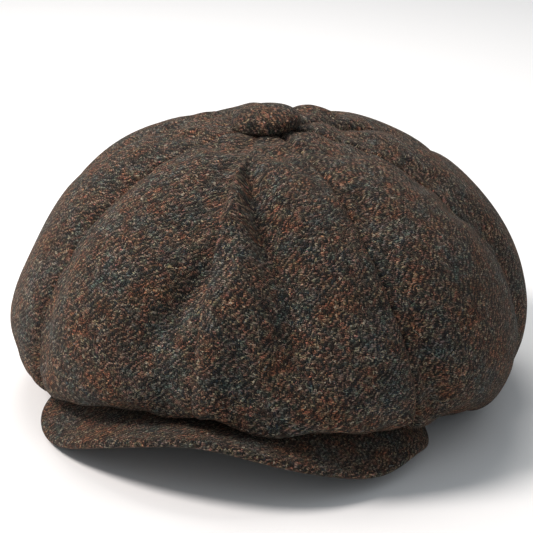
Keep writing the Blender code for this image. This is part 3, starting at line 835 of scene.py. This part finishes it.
def make_bands(tweed_cloth, ribbon, label_cloth, thread):
    head = band_ring("headband_cloth", 0.1 * MM, HEADBAND_CLOTH, 0.1 * MM, BAND_HEIGHT - 0.1 * MM, 200)
    settle(head, tweed_cloth, "cap", "band_tweed", "headband")
    sweat = band_ring("sweatband_ribbon", SWEATBAND_DEPTH, SWEATBAND_CLOTH, 0.4 * MM, 31.8 * MM, 240)
    settle(sweat, ribbon, "cap", "sweatband_ribbon", "sweatband")

    inside = SWEATBAND_DEPTH + SWEATBAND_CLOTH
    stitch_rows = (("sweatband_stitches_low", 3.2 * MM), ("sweatband_stitches_high", 28.6 * MM))
    for row_name, row_height in stitch_rows:
        starts, ends, lifts = [], [], []
        for k in range(STITCHES):
            pair = []
            for part in (0.12, 0.88):
                azimuth = np.array(-math.pi + 2 * math.pi * (k + part) / STITCHES)
                p = polar(band_radius(azimuth) - inside, azimuth, 0.0)
                p[2] = rim_height(p[1] - CENTRE_Y) + row_height
                pair.append(p)
            starts.append(pair[0])
            ends.append(pair[1])
            lifts.append(np.array([-math.sin(azimuth), math.cos(azimuth), 0.0]))
        stitch_row(row_name, starts, ends, lifts, STITCH_THREAD, thread, "cap", "sewing_thread")

    half_angle = 20.0 / 103.0
    azimuth = (math.pi + np.linspace(-half_angle, half_angle, 33))[None, :]
    rows = np.linspace(0, 1, 17)[:, None]
    height = LABEL_RISE + rows * LABEL_HEIGHT
    curl = 0.5 * MM * (np.abs(rows * 2 - 1) ** 6) * np.cos(azimuth * 40) ** 2
    r = band_radius(azimuth) - inside - 0.25 * MM - curl
    point = polar(r, azimuth + 0 * rows, 0 * r)
    point[..., 2] = rim_height(point[..., 1] - CENTRE_Y) + height
    weave = np.stack(np.broadcast_arrays((azimuth - math.pi) * 0.1, height), -1)
    label = grid_object("size_label_cloth", point, weave)
    thicken(label, LABEL_CLOTH)
    settle(label, label_cloth, "cap", "label_cloth", "size_label")


def peak_depth(azimuth):
    turn = np.clip(np.abs(azimuth) / PEAK_HALF_ANGLE, 0, 1)
    return PEAK_DEPTH * np.sqrt(1 - turn ** PEAK_OUTLINE_POWER)


def peak_middle(azimuth, distance):
    """Middle surface of the peak, at a distance out from its tucked-in root."""
    turn = np.clip(np.abs(azimuth) / PEAK_HALF_ANGLE, 0, 1)
    soft = PEAK_ARCH_ROUNDING
    arch = (np.hypot(turn, soft) - soft) / (math.hypot(1.0, soft) - soft)
    width = PEAK_TUCK + peak_depth(azimuth)
    inner = band_radius(azimuth) - PEAK_TUCK
    root = rim_height(-inner * np.cos(azimuth)) - 0.3 * MM - PEAK_HALF_THICKNESS * 1.05
    outward = np.clip(distance / width, 0, None)
    droop = PEAK_DROOP * arch * peak_depth(azimuth) * outward ** PEAK_BEND_POWER
    for height, place, wide in PEAK_BENDS:
        swelling = bump(azimuth, math.radians(place), math.radians(wide))
        droop -= height * MM * swelling * outward ** PEAK_BEND_POWER
    droop -= PEAK_LIFT * bump(azimuth, PEAK_LIFT_AZIMUTH, PEAK_LIFT_WIDTH) * outward ** PEAK_LIFT_POWER
    return polar(inner + distance, azimuth, root - droop)


def peak_frame(azimuth, distance, offset):
    step, reach = 0.002, 0.2 * MM
    along = peak_middle(azimuth + step, distance) - peak_middle(azimuth - step, distance)
    out = peak_middle(azimuth, distance + reach) - peak_middle(azimuth, np.maximum(distance - reach, 0))
    normal = np.cross(out, along)
    normal /= np.linalg.norm(normal, axis=-1, keepdims=True)
    normal *= np.sign(normal[..., 2:3])
    return peak_middle(azimuth, distance) + normal * offset[..., None]


def peak_azimuths(columns):
    return PEAK_HALF_ANGLE * np.sin(np.linspace(-1, 1, columns) * 0.975 * math.pi / 2)


def peak_sheet(name, section, material, slot, node, columns=121):
    """A peak cover from its cross-section, from one edge of the cloth to the other.

    Each point of the section is (share, back, extra, offset): its distance from the root is that share of
    the peak's width less `back`, plus `extra`, and it stands `offset` off the middle surface.
    """
    azimuth = peak_azimuths(columns)[None, :]
    width = PEAK_TUCK + peak_depth(azimuth)
    distance = np.stack([np.clip(share * (width[0] - back) + extra, 0, None)
                         for share, back, extra, _ in section])
    offset = np.array([o for *_, o in section])[:, None] + 0 * distance
    azimuth = azimuth + 0 * distance
    point = peak_frame(azimuth, distance, offset)
    across = walked(point[len(section) // 2])
    along = walked(point[:, columns // 2])
    weave = np.stack(np.broadcast_arrays(across[None, :] - across[-1] / 2, along[:, None]), -1)
    item = grid_object(name, point, weave, flip=True)
    settle(item, material, "peak", slot, node)
    return item


def make_peak(tweed_cloth):
    h = PEAK_HALF_THICKNESS
    round_out = 2.3 * MM
    top = [(s, round_out, 0.0, h) for s in np.linspace(0.03, 1.0, 22)]
    turn = np.linspace(0, math.pi, 13)[1:]
    top += [(1.0, round_out, round_out * math.sin(a), h * math.cos(a)) for a in turn]
    top += [(1.0, round_out, -d, -h) for d in (0.8 * MM, 1.6 * MM, 2.4 * MM)]
    top += [(1.0, round_out, -2.9 * MM, -h + 0.30 * MM), (1.0, round_out, -3.2 * MM, -h + 0.7 * MM)]
    cover = peak_sheet("peak_top_cloth", top, tweed_cloth, "peak_tweed", "peak_top_cover")
    thicken(cover, PEAK_COVER)
    under = [(1.0, round_out, -3.15 * MM, -h + 0.7 * MM), (1.0, round_out, -3.5 * MM, -h + 0.30 * MM)]
    under += [(s, round_out + 3.9 * MM, 0.0, -h) for s in np.linspace(1.0, 0.03, 20)]
    cover = peak_sheet("peak_under_cloth", under, tweed_cloth, "peak_tweed", "peak_under_cover")
    thicken(cover, PEAK_COVER)


def make_peak_allowance(cloth):
    """The peak's seam allowance, sewn in behind the band."""
    azimuth = peak_azimuths(101)[None, :]
    reach, drop = ALLOWANCE_REACH, ALLOWANCE_DROP
    rows = np.linspace(0, 1, 25)[:, None]
    depth = 3.18 * MM + 0.5 * MM * smooth(0.9, 1.0, rows)
    r = band_radius(azimuth) - depth
    point = polar(r, azimuth + 0 * rows, 0 * r)
    point[..., 2] = rim_height(point[..., 1] - CENTRE_Y) + reach * (1 - rows) - drop * rows
    across = walked(point[0])
    weave = np.stack(np.broadcast_arrays(across[None, :], rows * (reach + drop)), -1)
    item = grid_object("peak_seam_allowance", point, weave, flip=True)
    thicken(item, ALLOWANCE_CLOTH)
    item.data.materials.append(cloth)
    apply_modifiers(item)
    tilt = np.array((0.0, RIM_RISE / (2 * BAND_HALF_LENGTH), 1.0))
    tilt /= np.linalg.norm(tilt)
    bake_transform(item)


def apply_modifiers(item):
    graph = bpy.context.evaluated_depsgraph_get()
    final = bpy.data.meshes.new_from_object(item.evaluated_get(graph))
    item.modifiers.clear()
    item.data = final


def make_button(cloth):
    low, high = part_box("button_cover")
    centre = (low + high) / 2
    radius = (high.x - low.x) / 2 + 1.6 * MM
    height = high.z - low.z + 2.8 * MM
    side = 2.4 * MM
    profile = []
    for a in np.linspace(0, math.pi / 2, 22):
        profile.append((radius * math.sin(a) ** 0.88, side + (height - side) * math.cos(a) ** 0.85))
    for a in np.linspace(0, math.pi / 2, 8)[1:]:
        profile.append((radius - 2.6 * MM * (1 - math.cos(a)), side - (side - 0.1 * MM) * math.sin(a)))
    profile += [(radius - 4.5 * MM, 0.1 * MM), (11.6 * MM, 0.15 * MM)]
    profile[0] = (0.12 * MM, height)
    profile = np.array(profile)
    angle = np.linspace(0, 2 * math.pi, 97)
    r = profile[:, 0][:, None] * np.ones_like(angle)
    z = profile[:, 1][:, None] * np.ones_like(angle)
    under = smooth(side, 0.0, z) * smooth(9 * MM, 13 * MM, r)
    r = r + 0.45 * MM * under * np.cos(22 * angle) + 0.2 * MM * np.sin(3 * angle + 1.0) * smooth(0, 9 * MM, r)
    z = z + 0.2 * MM * np.sin(2 * angle + 0.6) * smooth(4 * MM, 13 * MM, r) * smooth(0.5 * MM, 3 * MM, z)
    lean = 0.055 * r * np.cos(angle) + 0.04 * r * np.sin(angle)
    lean = np.where(z > side, lean, lean * smooth(11.7 * MM, 14 * MM, r))
    point = np.stack([centre.x + r * np.cos(angle), centre.y + r * np.sin(angle), low.z + z + lean], -1)
    steps = np.concatenate([[0], np.cumsum(np.hypot(*np.diff(profile, axis=0).T))])[:, None]
    weave = np.stack([steps * np.cos(angle), steps * np.sin(angle)], -1)
    item = grid_object("button_cloth", point, weave, flip=True)
    mesh = bmesh.new()
    mesh.from_mesh(item.data)
    bmesh.ops.remove_doubles(mesh, verts=mesh.verts, dist=0.000005)
    rim = [e for e in mesh.edges if e.is_boundary and all(v.co.z > high.z - 2 * MM for v in e.verts)]
    bmesh.ops.contextual_create(mesh, geom=rim)
    bmesh.ops.recalc_face_normals(mesh, faces=mesh.faces)
    mesh.to_mesh(item.data)
    mesh.free()
    item.data.shade_smooth()
    thicken(item, 0.9 * MM)
    settle(item, cloth, "cap", "button_tweed", "button_cover")


def finish_frame_nodes():
    """Materials for the CAD nodes that stay: the hidden hard parts and the canvas."""
    metal = solid_grain("button_tinplate", (0.5, 0.5, 0.49), (0.66, 0.66, 0.64), 0.35, 1.0, 900.0)
    board = solid_grain("peak_board_sheet", linear(0.16, 0.15, 0.14), linear(0.24, 0.22, 0.20),
                        0.5, 0.0, 500.0)
    canvas = solid_grain("band_canvas", linear(0.20, 0.17, 0.15), linear(0.34, 0.29, 0.25),
                         0.9, 0.0, 1400.0)
    thread = solid_grain("button_sewing_thread", linear(0.16, 0.12, 0.10), linear(0.28, 0.21, 0.17),
                         0.75, 0.0, 2600.0)
    chosen = {"button_shell": metal, "button_back": metal, "button_shank": metal, "peak_board": board,
              "band_interlining": canvas, "button_thread": thread}
    for name, material in chosen.items():
        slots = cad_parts[name].data.materials
        slots.clear()
        slots.append(material)


# ---- stage ---------------------------------------------------------------------------------------

CAMERA_AZIMUTH = math.radians(13.5)
CAMERA_ELEVATION = math.radians(21.0)
CAMERA_DISTANCE = 0.9
CAMERA_ROLL = math.radians(1.0)
CAMERA_TARGET = Vector((-0.001, -0.002, 0.065))
CAMERA_LENS = 111.2


def area_light(name, place, target, size, power, colour):
    data = bpy.data.lights.new(name, "AREA")
    data.shape = "DISK"
    data.size = size
    data.energy = power
    data.color = colour
    item = bpy.data.objects.new(name, data)
    item.location = place
    item.rotation_euler = (Vector(target) - Vector(place)).to_track_quat("-Z", "Y").to_euler()
    bpy.context.scene.collection.objects.link(item)


def make_stage():
    mesh = bmesh.new()
    bmesh.ops.create_grid(mesh, x_segments=24, y_segments=24, size=4.0)
    data = bpy.data.meshes.new("studio_floor")
    mesh.to_mesh(data)
    mesh.free()
    floor = bpy.data.objects.new("studio_floor", data)
    floor.data.materials.append(floor_material())
    floor.location.z = cad_bounds[0].z - 0.2 * MM
    bpy.context.scene.collection.objects.link(floor)

    world = bpy.data.worlds.new("studio")
    bpy.context.scene.world = world
    world.use_nodes = True
    sky = world.node_tree.nodes["Background"]
    sky.inputs["Color"].default_value = (0.90, 0.95, 1.0, 1.0)
    sky.inputs["Strength"].default_value = 0.44
    middle = (0.0, 0.0, 0.06)
    area_light("key", (-0.92, -0.28, 1.15), middle, 0.45, 21.5, (1.0, 0.93, 0.895))
    area_light("fill", (1.1, -0.9, 0.5), middle, 0.9, 0.5, (0.85, 0.93, 1.0))
    area_light("top", (-0.25, 0.55, 1.15), middle, 0.8, 8.5, (1.0, 0.97, 0.94))
    bpy.context.scene.view_settings.view_transform = "Standard"

    data = bpy.data.cameras.new("camera")
    data.lens = CAMERA_LENS
    camera = bpy.data.objects.new("camera", data)
    flat = math.cos(CAMERA_ELEVATION)
    back = Vector((math.sin(CAMERA_AZIMUTH) * flat, -math.cos(CAMERA_AZIMUTH) * flat,
                   math.sin(CAMERA_ELEVATION)))
    camera.location = CAMERA_TARGET + back * CAMERA_DISTANCE
    turn = (-back).to_track_quat("-Z", "Y") @ Quaternion((0, 0, 1), CAMERA_ROLL)
    camera.rotation_euler = turn.to_euler()
    bpy.context.scene.collection.objects.link(camera)
    bpy.context.scene.camera = camera


def main():
    settle_crown()
    cloths = [tweed("crown_tweed_cloth", 1.0), tweed("crown_tweed_cloth_b", 4.0)]
    peak_cloth = tweed("peak_tweed_cloth", 9.0)
    thread = solid_grain("sewing_thread_twist", linear(0.14, 0.10, 0.08), linear(0.34, 0.25, 0.19),
                         0.7, 0.0, 2400.0)
    label = plain_weave("label_weave", linear(0.66, 0.62, 0.52), linear(0.86, 0.82, 0.72), 0.5 * MM)
    make_crown(cloths, satin("lining_satin_cloth"))
    make_bands(tweed("band_tweed_cloth", 12.0), ribbed("sweatband_grosgrain"), label, thread)
    make_peak(peak_cloth)
    make_peak_allowance(peak_cloth)
    make_button(tweed("button_tweed_cloth", 15.0))
    finish_frame_nodes()
    make_stage()


main()
